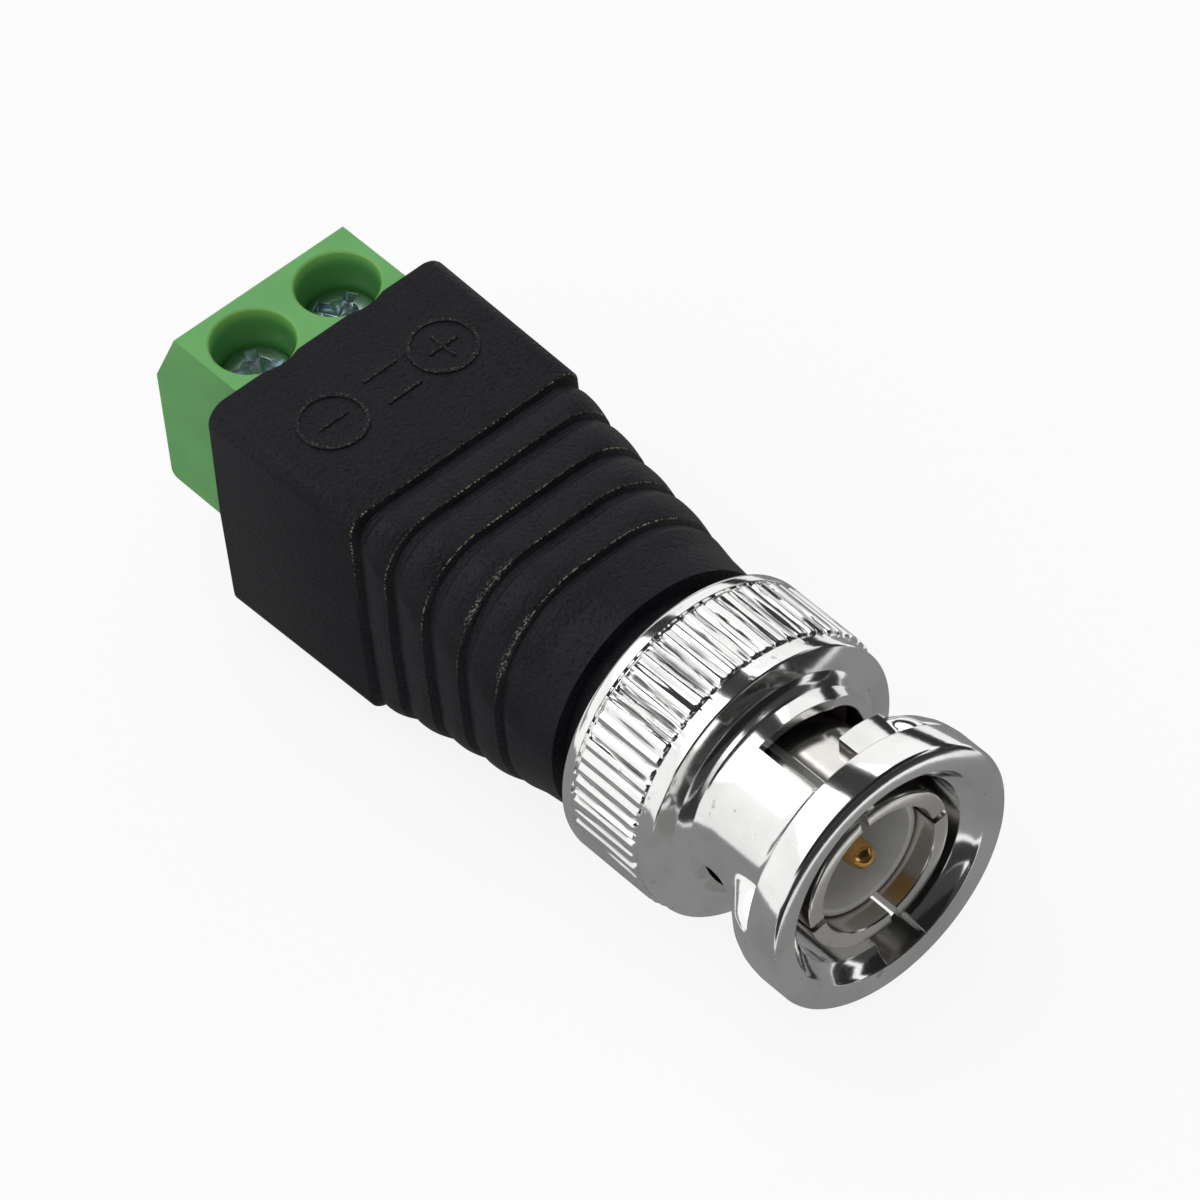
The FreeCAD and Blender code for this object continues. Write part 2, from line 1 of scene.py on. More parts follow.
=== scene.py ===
import bpy
import bmesh
import math
import random
from mathutils import Matrix, Vector


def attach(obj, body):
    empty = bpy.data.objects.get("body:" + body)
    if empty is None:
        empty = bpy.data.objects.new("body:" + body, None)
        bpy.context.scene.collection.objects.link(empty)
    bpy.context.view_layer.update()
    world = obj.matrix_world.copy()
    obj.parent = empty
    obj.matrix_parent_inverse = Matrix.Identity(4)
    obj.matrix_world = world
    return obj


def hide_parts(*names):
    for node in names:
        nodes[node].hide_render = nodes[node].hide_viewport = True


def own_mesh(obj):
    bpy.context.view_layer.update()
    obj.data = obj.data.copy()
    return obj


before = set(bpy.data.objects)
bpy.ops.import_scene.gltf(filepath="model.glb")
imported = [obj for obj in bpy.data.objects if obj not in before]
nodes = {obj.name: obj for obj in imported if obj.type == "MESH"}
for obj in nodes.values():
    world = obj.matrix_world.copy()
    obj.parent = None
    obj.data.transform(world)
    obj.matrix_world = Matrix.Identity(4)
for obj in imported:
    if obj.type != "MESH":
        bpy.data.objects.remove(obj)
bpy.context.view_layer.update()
scene = bpy.context.scene
print("frame loaded:", len(nodes), "nodes")


def addNode(tree, kind, settings=None, out=0, **inputs):  # i0, i1 and so on are sockets by number
    node = tree.nodes.new(kind)
    for key, value in (settings or {}).items():
        setattr(node, key, value)
    for key, value in inputs.items():
        slot = node.inputs[int(key[1:]) if key[1:].isdigit() else key.replace("_", " ")]
        if isinstance(value, Value):
            tree.links.new(value.out, slot)
        else:
            slot.default_value = value
    return Value(tree, node.outputs[out]) if node.outputs else None


class Value:  # a socket that takes part in sums
    def __init__(self, tree, out):
        self.tree = tree
        self.out = out

    def math(self, operation, *args):
        sockets = {"i%d" % number: arg for number, arg in enumerate(args)}
        return addNode(self.tree, "ShaderNodeMath", {"operation": operation}, **sockets)

    def __add__(self, other):
        return self.math("ADD", self, other)

    def __radd__(self, other):
        return self.math("ADD", other, self)

    def __sub__(self, other):
        return self.math("SUBTRACT", self, other)

    def __rsub__(self, other):
        return self.math("SUBTRACT", other, self)

    def __mul__(self, other):
        return self.math("MULTIPLY", self, other)

    def __pow__(self, other):
        return self.math("POWER", self, other)

    def __abs__(self):
        return self.math("ABSOLUTE", self)

    def least(self, other):
        return self.math("MINIMUM", self, other)

    def most(self, other):
        return self.math("MAXIMUM", self, other)

    def over(self, low, high):  # 0 below low, 1 above high
        return addNode(self.tree, "ShaderNodeMapRange", {"interpolation_type": "SMOOTHSTEP"}, Value=self,
                       From_Min=low, From_Max=high)


class Finish:
    def __init__(self, name, **constants):
        self.material = bpy.data.materials.new(name)
        self.material.use_nodes = True
        self.tree = self.material.node_tree
        self.shader = self.tree.nodes["Principled BSDF"]
        for key, value in constants.items():
            self.shader.inputs[key.replace("_", " ")].default_value = value
        self.coords = self.add("ShaderNodeTexCoord", out="Object")

    def add(self, kind, settings=None, out=0, **inputs):
        return addNode(self.tree, kind, settings, out, **inputs)

    def axes(self):  # x, y and z in mm
        return [self.add("ShaderNodeSeparateXYZ", out=i, Vector=self.coords) * 1000.0 for i in range(3)]

    def noise(self, scale, detail=3.0, stretch=(1, 1, 1), rough=0.5):
        place = self.add("ShaderNodeMapping", Vector=self.coords, Scale=stretch)
        return self.add("ShaderNodeTexNoise", Vector=place, Scale=scale, Detail=detail, Roughness=rough)

    def blend(self, mask, low, high):
        return self.add("ShaderNodeMix", {"data_type": "RGBA"}, out=2, i0=mask, i6=low, i7=high)

    def bump(self, height, distance, strength=1.0, normal=None):
        more = {"Normal": normal} if normal else {}
        return self.add("ShaderNodeBump", Height=height, Distance=distance, Strength=strength, **more)

    def feed(self, **values):
        for key, value in values.items():
            self.tree.links.new(value.out, self.shader.inputs[key.replace("_", " ")])
        return self


def rgb(r, g, b):
    return (r, g, b, 1.0)


def nickelFinish(name, tone, rough, knurl=False):
    f = Finish(name, Metallic=1.0)
    x, y, z = f.axes()
    radius = (y * y + z * z) ** 0.5
    cloud = f.noise(260, 4)
    fine = f.noise(2600, 3)
    lines = f.noise(900, 2, stretch=(9, 0.6, 0.6))
    pits = f.noise(1500, 5).over(0.66, 0.74)
    base = f.blend(cloud.over(0.35, 0.65), rgb(*tone), rgb(*[c * 0.86 for c in tone]))
    base = f.blend(pits * 0.5, base, rgb(0.25, 0.24, 0.23))
    if knurl:  # painted shade: the deep parts of the knurl grooves are darkened
        front, rear = -nut["knurlFront"], nut["knurlRear"]
        inBand = (0 - x).over(front + 0.15, front + 0.55) * (x - rear - 0.05).over(0, 0.3)
        deep = (nut["knurlR"] - 0.07 - radius).over(0.0, 0.14)
        base = f.blend(inBand * deep * 0.8, base, rgb(0.06, 0.06, 0.06))
    edge = f.add("ShaderNodeBevel", {"samples": 6}, Radius=0.00007)
    height = cloud * 0.5 + fine * 0.06 + lines * 0.12 - pits * 0.2
    f.feed(Base_Color=base, Roughness=rough + cloud * 0.08 + pits * 0.2,
           Normal=f.bump(height, 0.00006, 0.35, edge))
    return f.material


def mouldingFinish():
    f = Finish("blackMoulding", IOR=1.47, Specular_IOR_Level=0.21, Specular_Tint=rgb(0.93, 0.91, 1.0))
    x, y, z = f.axes()
    top, front = moulding["top"], -moulding["boxFront"]
    upper = z.over(top - 1.3, top - 0.4) * (0 - x).over(front - 0.35, front + 0.15)
    grain = f.noise(4300, 2, rough=0.55)
    soft = f.noise(700, 3)
    base = f.blend(soft.over(0.3, 0.7), rgb(0.0068, 0.0066, 0.0088), rgb(0.0098, 0.0096, 0.0122))
    lips = ledges = None
    for lip in moulding["lips"]:
        line = 1 - abs(x - lip - 0.005).over(0.008, 0.035)
        ledge = 1 - abs(x - lip - 0.62).over(0.03, 0.12)
        lips = line if lips is None else lips.most(line)
        ledges = ledge if ledges is None else ledges.most(ledge)
    patches = f.noise(520, 2).over(0.42, 0.6)
    specks = f.noise(8200, 2).over(0.46, 0.58)
    # painted highlight: yellowish glints dotted along the rib lips, together with worn flash there
    lipGlintAndWear = (lips * z.over(1.0, 5.5) * specks * (patches * 0.8 + 0.2)).least(1.0)
    base = f.blend(lipGlintAndWear * 0.75, base, rgb(0.5, 0.45, 0.28))
    # painted highlight: lighter specks on the tops of the raised + and − marks, for their glints and rubbed tops
    signs = z.over(top + 0.055, top + 0.085) * (0 - x).over(front + 3.15, front + 3.35)
    signs = signs * f.noise(9000, 2).over(0.56, 0.68)
    base = f.blend(signs * 0.3, base, rgb(0.3, 0.28, 0.22))
    scuffs = None
    for lip, y0, z0 in moulding["scuffs"]:
        spot = 1 - ((abs(x - lip + 0.05) * 7) ** 2.0 + (y - y0) ** 2.0 + (z - z0) ** 2.0).over(0.2, 2.0)
        scuffs = spot if scuffs is None else scuffs.most(spot)
    scuffs = scuffs * f.noise(7200, 2, stretch=(1.6, 1, 1)).over(0.52, 0.62)
    base = f.blend(scuffs * 0.4, base, rgb(0.42, 0.42, 0.39))
    seam = 1 - abs(z).over(0.02, 0.08)
    flecks = f.noise(6500, 2).over(0.6, 0.72)
    height = grain * (0.65 + upper * 0.35) + soft * 0.3 + flecks * 0.4 - seam * 0.5 - ledges * 0.45
    f.feed(Base_Color=base, Roughness=0.41 + upper * 0.05 + soft * 0.12 - lipGlintAndWear * 0.15,
           Normal=f.bump(height, 0.00012, 0.8))
    return f.material


def greenFinish():
    f = Finish("greenBlock", IOR=1.5, Subsurface_Weight=0.12, Subsurface_Scale=0.001)
    x, y, z = f.axes()
    near = None
    for side in (-1, 1):
        away = ((x - block["screwX"]) ** 2.0 + (y - side * block["pitch"] / 2) ** 2.0) ** 0.5
        near = away if near is None else near.least(away)
    top, wellR = block["top"], block["wellR"]
    # painted highlight: a lighter yellow-green band round the screw-well rims
    rim = (1 - near.over(wellR + 0.02, wellR + 0.22)) * z.over(top - 0.6, top - 0.1)
    mottled = f.noise(420, 4)
    base = f.blend(mottled.over(0.3, 0.7), rgb(0.132, 0.43, 0.118), rgb(0.15, 0.465, 0.132))
    # painted shade: darker green inside the screw wells
    inside = (1 - near.over(wellR - 0.02, wellR + 0.06)) * (1 - z.over(top - 0.9, top)) * z.over(0.2, 0.8)
    base = f.blend(inside * 0.75, base, rgb(0.05, 0.21, 0.04))
    base = f.blend(rim * 0.45, base, rgb(0.24, 0.5, 0.08))
    fine = f.noise(2600, 3)
    edge = f.add("ShaderNodeBevel", {"samples": 6}, Radius=0.00012)
    f.feed(Base_Color=base, Roughness=0.36 + mottled * 0.12,
           Normal=f.bump(fine * 0.3 + mottled, 0.00003, 0.5, edge))
    return f.material


def metalFinish(name, low, high, rough, scale=600, dirt=0.0):
    f = Finish(name, Metallic=1.0)
    cloud = f.noise(scale, 4)
    fine = f.noise(scale * 6, 2)
    base = f.blend(cloud.over(0.3, 0.7), rgb(*low), rgb(*high))
    edge = f.add("ShaderNodeBevel", {"samples": 4}, Radius=0.00005)
    f.feed(Base_Color=base, Roughness=rough + cloud * 0.12,
           Normal=f.bump(cloud * 0.7 + fine * 0.3, 0.00004, 0.4, edge))
    return f.material


def plainFinish(name, low, high, rough, scale=500, **constants):
    f = Finish(name, **constants)
    cloud = f.noise(scale, 4)
    base = f.blend(cloud.over(0.3, 0.7), rgb(*low), rgb(*high))
    f.feed(Base_Color=base, Roughness=rough + cloud * 0.1, Normal=f.bump(cloud, 0.00003, 0.4))
    return f.material


def toPiece(name, bm, material, body, replaced, sharp=32.0):
    bmesh.ops.remove_doubles(bm, verts=bm.verts, dist=1e-5)
    bmesh.ops.recalc_face_normals(bm, faces=bm.faces)
    bmesh.ops.scale(bm, vec=(0.001, 0.001, 0.001), verts=bm.verts)
    mesh = bpy.data.meshes.new(name)
    bm.to_mesh(mesh)
    bm.free()
    piece = bpy.data.objects.new(name, mesh)
    scene.collection.objects.link(piece)
    finishMesh(piece, material, sharp)
    if body:
        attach(piece, body)
        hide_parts(*replaced)
    print("piece", name, len(mesh.polygons), "faces")
    return piece


def finishMesh(piece, material, sharp):
    piece.data.shade_smooth()
    piece.data.set_sharp_from_angle(angle=math.radians(sharp))
    piece.data.materials.clear()
    piece.data.materials.append(material)


def carve(piece, cutters, material, sharp=32.0, operation="DIFFERENCE"):
    for cutter in cutters:
        mod = piece.modifiers.new("cut", "BOOLEAN")
        mod.operation = operation
        mod.solver = "EXACT"
        mod.object = cutter
    graph = bpy.context.evaluated_depsgraph_get()
    done = bpy.data.meshes.new_from_object(piece.evaluated_get(graph))
    piece.modifiers.clear()
    old = piece.data
    piece.data = done
    bpy.data.meshes.remove(old)
    for cutter in cutters:
        bpy.data.objects.remove(cutter)
    bm = bmesh.new()
    bm.from_mesh(piece.data)
    bmesh.ops.dissolve_degenerate(bm, edges=bm.edges, dist=1e-7)
    bm.to_mesh(piece.data)
    bm.free()
    finishMesh(piece, material, sharp)
    print("carved", piece.name, len(piece.data.polygons), "faces")


def tool(bm):
    return toPiece("cutter", bm, None, None, ())


def spun(outline, steps, axis=(1, 0, 0)):
    bm = bmesh.new()
    verts = [bm.verts.new((a, r, 0) if axis[0] else (r, 0, a)) for a, r in outline]
    closed = outline[0][1] > 1e-6 or outline[-1][1] > 1e-6
    pairs = list(zip(verts, verts[1:])) + ([(verts[-1], verts[0])] if closed else [])
    edges = [bm.edges.new(pair) for pair in pairs]
    bmesh.ops.spin(bm, geom=verts + edges, axis=axis, cent=(0, 0, 0), angle=math.tau, steps=steps, use_merge=True)
    bmesh.ops.remove_doubles(bm, verts=bm.verts, dist=1e-5)
    bmesh.ops.recalc_face_normals(bm, faces=bm.faces)
    return bm


def ringEdges(bm, x, r):
    def onRing(v):
        return abs(v.co.x - x) < 2e-4 and abs(math.hypot(v.co.y, v.co.z) - r) < 2e-3
    return [edge for edge in bm.edges if all(onRing(v) for v in edge.verts)]


def roundRings(bm, corners):
    for x, r, width in corners:
        bmesh.ops.bevel(bm, geom=ringEdges(bm, x, r), offset=width, offset_type="OFFSET", segments=3, profile=0.5,
                        affect="EDGES", material=-1)


def block3(low, high, bevel=0.0):
    bm = bmesh.new()
    bmesh.ops.create_cube(bm, size=1.0)
    size = Vector(high) - Vector(low)
    bmesh.ops.scale(bm, vec=size, verts=bm.verts)
    bmesh.ops.translate(bm, vec=(Vector(high) + Vector(low)) / 2, verts=bm.verts)
    if bevel:
        bmesh.ops.bevel(bm, geom=bm.edges[:], offset=bevel, offset_type="OFFSET", segments=2, profile=0.5,
                        affect="EDGES", material=-1)
    return bm


def joined(*parts):
    whole = bmesh.new()
    for part in parts:
        mesh = bpy.data.meshes.new("join")
        part.to_mesh(mesh)
        part.free()
        whole.from_mesh(mesh)
        bpy.data.meshes.remove(mesh)
    return whole


def smooth(t):
    t = max(0.0, min(1.0, t))
    return t * t * (3 - 2 * t)


def between(value, table):
    for (a, fa), (b, fb) in zip(table, table[1:]):
        if a <= value <= b:
            return fa + (fb - fa) * (value - a) / (b - a)
    return table[-1][1] if value > table[-1][0] else table[0][1]


camera = {
    "place": (0.189235, -0.155852, 0.294689),
    "turn": (0.724829, 0.0699286, 0.84787),
    "lens": 261.75,
}
cameraData = bpy.data.cameras.new("photoCamera")
cameraData.lens = camera["lens"]
cameraData.sensor_width = 36
cameraData.sensor_fit = "HORIZONTAL"
cameraData.clip_start = 0.01
cameraData.clip_end = 20
photoCamera = bpy.data.objects.new("photoCamera", cameraData)
photoCamera.location = camera["place"]
photoCamera.rotation_euler = camera["turn"]
scene.collection.objects.link(photoCamera)
scene.camera = photoCamera
print("camera set")

zincPlate = metalFinish("blueZinc", (0.5, 0.62, 0.66), (0.62, 0.7, 0.72), 0.2)
tinnedBrass = metalFinish("tinnedBrass", (0.62, 0.58, 0.5), (0.7, 0.66, 0.58), 0.25)
springSteel = metalFinish("springSteel", (0.5, 0.5, 0.5), (0.6, 0.6, 0.6), 0.25)
copperWire = metalFinish("tinnedCopper", (0.6, 0.36, 0.24), (0.72, 0.44, 0.3), 0.3)
solderFill = metalFinish("solder", (0.6, 0.6, 0.6), (0.72, 0.72, 0.72), 0.18)
print("plain metals made")

nut = {
    "steps": 680,
    "teeth": 68,
    "knurlFront": -8.05,
    "knurlRear": -12.0,
    "knurlR": 7.4,
    "outline": [
        (0.7, 5.66), (0.7, 6.3), (0.7, 6.95), (-0.2, 6.95), (-1.06, 6.95), (-1.16, 6.62), (-1.32, 6.2),
        (-1.52, 5.82), (-1.8, 5.56), (-2.1, 5.46), (-2.3, 5.45), (-2.6, 5.45), (-2.9, 5.45), (-3.2, 5.45),
        (-3.5, 5.45), (-3.8, 5.45), (-4.1, 5.45), (-4.4, 5.45), (-4.7, 5.45), (-5.4, 5.45), (-6.3, 5.45),
        (-6.45, 5.5), (-6.56, 5.66), (-6.68, 5.84), (-6.92, 6.02), (-6.94, 6.1), (-7.16, 7.2), (-7.6, 7.2),
        (-8.05, 7.2), (-8.12, 7.36), (-8.24, 7.4), (-8.7, 7.4), (-9.2, 7.4), (-9.7, 7.4), (-10.2, 7.4),
        (-10.7, 7.4), (-11.2, 7.4), (-11.7, 7.4), (-11.98, 7.4), (-12.06, 7.24), (-12.14, 7.24),
        (-12.2, 7.4), (-12.95, 7.4), (-12.95, 5.3), (-12.2, 5.3),
        (-12.2, 4.6), (-11.2, 4.6), (-11.2, 5.85), (-7.35, 5.85), (-6.6, 5.05), (-6.6, 4.9), (-4.0, 4.9),
        (-0.1, 4.9), (0.15, 5.25), (0.5, 5.5),
    ],
    "rounds": [(0.7, 6.95, 0.2), (0.7, 5.66, 0.07), (-1.06, 6.95, 0.06), (-12.95, 7.4, 0.34), (-7.16, 7.2, 0.08),
               (-12.95, 5.3, 0.1)],
    "windowStart": 109.0,
    "entry": 24.0,
    "windowEnd": 113.0,
    "rearWall": [(0, -5.55), (49, -5.55), (62, -5.8), (87, -6.15), (101, -6.2), (113, -6.2)],
    "camWall": [(24, -2.8), (50, -3.2), (84, -4.2), (88, -3.9), (107, -3.85), (113, -3.9)],
    "flare": [(-4.6, 5.4), (-4.2, 5.45), (-3.76, 5.59), (-3.33, 5.81), (-2.87, 6.2), (-2.33, 6.61), (-1.7, 6.87),
              (-1.0, 6.95)],
    "padR": 6.2,
    "waistR": 5.45,
    "roof": (-4.65, -0.9),  # x of the raised part
    "padRear": -4.4,
    "padRun": ((12, 4), (50, 9)),  # degrees: where it rises and over how many, where it ends
    "flareRun": ((42, 12), (112, 14)),
    "bore": 4.9,
    "slotRear": -5.55,
    "slotR": 5.62,
    "lipCut": (-1.2, 6.8),  # x and radius: how far the entry groove opens under the lip
    "clear": (4.5, 1.2, 8.5),  # cutters start inside the bore, in front of the lip and end outside the ring
    "knurlShift": (-0.15, 0.15),  # shares of a tooth's step
    "knurlDeep": (0.08, 0.22),
    "knurlWidths": (0.2, 0.28, 0.36, 0.5),
    "knurlLean": (-0.1, 0.1),
}
nickel = nickelFinish("brightNickel", (0.93, 0.925, 0.915), 0.07, knurl=True)


def swell(into, run):
    (first, rise), (last, fall) = run
    return smooth((into - first) / rise) * (1 - smooth((into - last) / fall))


def roofRadius(x, angle):
    best, waist = 0.0, nut["waistR"]
    for start in (nut["windowStart"], nut["windowStart"] + 180):
        into = (start - angle) % 360
        if into > 140 or x < nut["roof"][0] or x > nut["roof"][1]:
            continue
        pad = swell(into, nut["padRun"]) * (x > nut["padRear"])
        flare = swell(into, nut["flareRun"])
        best = max(best, waist + (nut["padR"] - waist) * pad, waist + (between(x, nut["flare"]) - waist) * flare)
    return best


def windowWalls(into):
    rear = between(into, nut["rearWall"])
    front = between(into, nut["camWall"])
    late = max(0.0, (into - 101) / (nut["windowEnd"] - 101))  # round end
    middle, half = (rear + front) / 2, (front - rear) / 2
    half *= math.sqrt(max(0.0004, 1 - late * late))
    return middle - half, middle + half


def wrapped(start, first, last, count, walls, inner, outer):  # flat grid bent round the axis, then thickened
    bm = bmesh.new()
    bmesh.ops.create_grid(bm, x_segments=count, y_segments=1, size=0.5)
    for v in bm.verts:
        into = first + (v.co.x + 0.5) * (last - first)
        rear, front = walls(into)
        v.co = (rear + (v.co.y + 0.5) * (front - rear), math.radians(start - into), inner)
    grown = bmesh.ops.extrude_face_region(bm, geom=bm.faces[:])
    for item in grown["geom"]:
        if isinstance(item, bmesh.types.BMVert):
            item.co.z = outer
    for v in bm.verts:
        v.co = (v.co.x, v.co.z * math.cos(v.co.y), v.co.z * math.sin(v.co.y))
    return bm


def makeNut():
    bm = spun(nut["outline"], nut["steps"])
    roundRings(bm, nut["rounds"])
    rng = random.Random(5)
    teeth = [(rng.uniform(*nut["knurlShift"]), rng.uniform(*nut["knurlDeep"]), rng.choice(nut["knurlWidths"]),
              rng.uniform(*nut["knurlLean"]), rng.uniform(0, 6)) for _ in range(nut["teeth"])]
    knurlRear, knurlFront = nut["knurlRear"], nut["knurlFront"]
    for v in bm.verts:
        r = math.hypot(v.co.y, v.co.z)
        angle = math.degrees(math.atan2(v.co.z, v.co.y)) % 360
        target = r
        if r > nut["waistR"] - 0.05 and nut["roof"][0] < v.co.x < -1.08:
            target = max(r, roofRadius(v.co.x, angle))
        elif r > nut["knurlR"] - 0.05 and knurlRear - 0.01 < v.co.x < knurlFront + 0.01:
            place = angle / 360 * nut["teeth"]
            shift, depth, width, lean, phase = teeth[int(place) % nut["teeth"]]
            along = (v.co.x - knurlRear) / (knurlFront - knurlRear)
            off = abs(place % 1 - 0.5 - shift - lean * (along - 0.5)) / width
            wobble = 1 + 0.25 * math.sin(phase + 7 * along)
            target = r - depth * smooth(1 - off) * wobble - 0.02 * smooth(place % 1)
        if target != r:
            v.co.y *= target / r
            v.co.z *= target / r
    piece = toPiece("couplingNut", bm, nickel, "nut", ("coupling_nut",))
    cutters = []
    entry, rear, bore, slotR = (nut[key] for key in ("entry", "slotRear", "bore", "slotR"))
    (lipX, lipR), (inside, ahead, outside) = nut["lipCut"], nut["clear"]
    for start in (nut["windowStart"], nut["windowStart"] + 180):
        cutters.append(tool(wrapped(start, 0, entry, 16, lambda d: (rear, ahead), inside, slotR)))
        cutters.append(tool(wrapped(start, 0, entry, 16, lambda d: (rear, lipX), bore, lipR)))
        cutters.append(tool(wrapped(start, entry - 0.6, nut["windowEnd"], 90, windowWalls, inside, outside)))
    carve(piece, cutters, nickel)


makeNut()

plug = {
    "outline": [
        (0, 3.36), (0, 4.15), (-2.0, 4.15), (-8.1, 4.15), (-8.1, 4.4), (-9.3, 4.4), (-9.3, 5.6), (-9.9, 5.6),
        (-9.9, 4.52), (-12.25, 4.52), (-12.25, 4.07), (-12.75, 4.07), (-12.75, 4.52), (-17.5, 4.52),
        (-17.5, 2.6), (-12.0, 2.6), (-12.0, 3.3), (-2.0, 3.3), (-0.07, 3.3),
    ],
    "rounds": [(0, 4.15, 0.13), (-9.3, 5.6, 0.08), (-9.9, 5.6, 0.08)],
    "slits": (10.0, 0.4, -6.5),  # first angle, width, depth
    "slitReach": (2.9, 4.9),
}
contactNickel = nickelFinish("contactNickel", (0.84, 0.82, 0.78), 0.13)
insulatorShape = {
    "outline": [
        (-1.2, 2.9), (-1.2, 3.24), (-6.8, 3.24), (-6.86, 3.3), (-12.0, 3.3), (-12.0, 1.1), (-6.4, 1.1),
        (-6.4, 0.9), (-5.8, 0.9), (-5.8, 2.9),
    ],
    "rounds": [(-1.2, 2.9, 0.08), (-1.2, 3.24, 0.1), (-5.8, 2.9, 0.4)],
}
dielectric = plainFinish("dielectric", (0.56, 0.57, 0.56), (0.64, 0.65, 0.64), 0.32, Subsurface_Weight=0.3,
                         Subsurface_Scale=0.0008)
pinShape = {
    "outline": [
        (-0.6, 0), (-0.61, 0.12), (-0.66, 0.26), (-0.76, 0.4), (-0.9, 0.53), (-1.08, 0.63), (-1.3, 0.675),
        (-5.8, 0.675), (-5.8, 0.9), (-6.4, 0.9), (-6.4, 1.1), (-12.6, 1.1), (-12.6, 0.8), (-19.4, 0.8),
        (-19.4, 0.5), (-17.6, 0.5), (-17.6, 0),
    ],
    "flat": ((-20.0, -1.0, 0.25), (-17.8, 1.0, 1.0)),
}
goldPlate = metalFinish("goldPlate", (0.84, 0.47, 0.15), (0.92, 0.58, 0.2), 0.16)
gasketShape = {
    "outline": [(-9.3, 4.4), (-9.3, 5.6), (-8.1, 5.6), (-8.1, 4.4)],
    "rounds": [(-8.1, 5.6, 0.25), (-9.3, 5.6, 0.12), (-8.1, 4.4, 0.1)],
}
silicone = plainFinish("redSilicone", (0.055, 0.006, 0.006), (0.08, 0.01, 0.008), 0.42)


def makePlug():
    bm = spun(plug["outline"], 192)
    roundRings(bm, plug["rounds"])
    piece = toPiece("outerContact", bm, contactNickel, "core", ("plug_body",))
    (first, width, depth), (inner, outer) = plug["slits"], plug["slitReach"]
    cutters = []
    for i in range(4):
        cut = block3((depth, inner, -width / 2), (1.0, outer, width / 2))
        turn = Matrix.Rotation(math.radians(first + 90 * i), 3, "X")
        bmesh.ops.rotate(cut, verts=cut.verts, cent=(0, 0, 0), matrix=turn)
        cutters.append(tool(cut))
    carve(piece, cutters, contactNickel)
    bm = spun(insulatorShape["outline"], 128)
    roundRings(bm, insulatorShape["rounds"])
    toPiece("dielectricSleeve", bm, dielectric, "core", ("insulator",))
    bm = spun(gasketShape["outline"], 128)
    roundRings(bm, gasketShape["rounds"])
    toPiece("siliconeGasket", bm, silicone, "core", ("gasket",))
    bm = spun(pinShape["outline"], 96)
    piece = toPiece("centrePin", bm, goldPlate, "core", ("centre_pin",), sharp=24)
    carve(piece, [tool(block3(*pinShape["flat"]))], goldPlate, 24)


makePlug()

block = {
    "rear": -43.5,
    "front": -35.4,
    "half": 5.08,
    "top": 6.5,
    "bottom": -4.0,
    "topEdge": -41.65,
    "slopeFoot": 2.84,
    "heelRound": 0.4,
    "stepX": -36.4,
    "stepZ": 5.6,
    "pitch": 5.08,
    "screwX": -39.05,
    "wellR": 2.0,
    "well": [(1.0, 0), (1.0, 1.82), (4.3, 1.82), (6.36, 2.0), (6.44, 2.04), (6.5, 2.14), (7.0, 2.3), (7.0, 0)],
    "wellNotch": 2.25,
    "funnel": {"half": 1.96, "low": -3.15, "high": 0.65, "deep": 1.2, "round": 0.35, "middle": -1.25,
               "narrow": (0.77, 0.76)},
    "wireHole": {"x": (-43.0, -41.9), "half": 1.5, "z": (-2.7, 0.2)},
    "cageHole": {"x": (-41.9, -36.1), "half": 2.1, "z": (-3.4, 1.2)},
}
greenBlock = greenFinish()

moulding = {
    "rear": -37.05,
    "boxFront": -27.25,
    "halfWidth": 6.85,
    "top": 6.7,
    "bottom": -6.35,
    "edge": 1.0,
    "draft": 0.2,
    "lips": (-27.25, -25.1, -22.73, -20.45, -18.0),
    "lipSizes": ((6.8, 1.0), (6.8, 2.8), (6.78, 3.95), (6.76, 4.95), (6.74, 5.9)),
    "valleySizes": ((6.52, 1.3), (6.5, 2.5), (6.48, 3.6), (6.46, 4.56), (6.46, 5.5)),
    "crestSizes": ((6.72, 1.7), (6.7, 2.86), (6.68, 4.0), (6.68, 4.85), (6.66, 5.93)),
    "crestShare": 0.34,  # of a rib, from its lip
    "lastRib": (-16.2, 6.62, 6.4),  # x where it ends, half width, corner radius
    "taper": (1.75, -0.11, 0.05),  # length after it, change of half width and radius
    "squareRun": (-27.3, -17.0),  # from square to round
    "sideBulge": 0.1,
    "scuffs": ((-20.45, -4.9, 4.7), (-20.45, -3.6, 5.7), (-18.0, -5.3, 3.6), (-18.0, -4.4, 4.7)),
    "collar": -14.4,
    "neck": -13.2,
    "neckR": 5.7,
    "plugHole": (-17.5, 4.52),
    "signs": {"x": -32.45, "y": 3.3, "inner": 1.46, "outer": 1.78, "side": 0.05, "stroke": 0.85, "half": 0.1,
              "sink": 0.4, "rise": 0.1, "bars": (-33.3, -31.5), "barY": (-0.8, 1.2), "round": 0.03},
}
blackMoulding = mouldingFinish()


